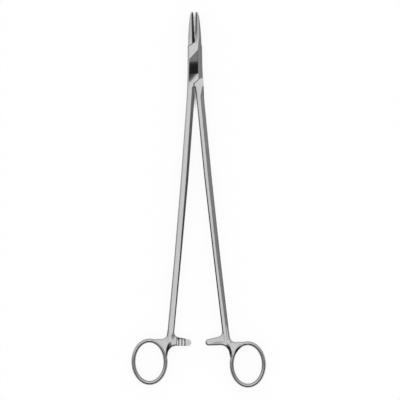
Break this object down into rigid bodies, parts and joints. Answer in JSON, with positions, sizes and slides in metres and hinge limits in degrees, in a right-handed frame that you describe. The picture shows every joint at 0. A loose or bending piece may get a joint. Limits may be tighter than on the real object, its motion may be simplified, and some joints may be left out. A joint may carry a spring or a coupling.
{
  "type": "surgical needle holder",
  "caption": "Long steel box-lock needle holder with straight narrow jaws, flat bevelled shanks, oval finger rings and a ratchet that locks the grip.",
  "frame": {"origin": "on the hinge pin's axis, at the underside of the box lock", "axes": "+Y along the instrument towards the jaws' tips, +Z along the pin, up from the face it lies on, +X to the right seen from above with the jaws up"},
  "size_m": [0.1068, 0.298, 0.0076],
  "materials": {
    "satin_steel": "satin",
    "pin_steel": "satin, ground flush"
  },
  "bodies": {
    "female": {"female_half": "satin_steel", "hinge_pin": "pin_steel"},
    "male": {"male_half": "satin_steel"}
  },
  "joints": [
    {"name": "box_lock", "type": "hinge", "parent": "female", "child": "male", "pos_m": [0, 0, 0.0038], "axis": [0, 0, 1], "range_deg": [-2.3, 45]}
  ]
}
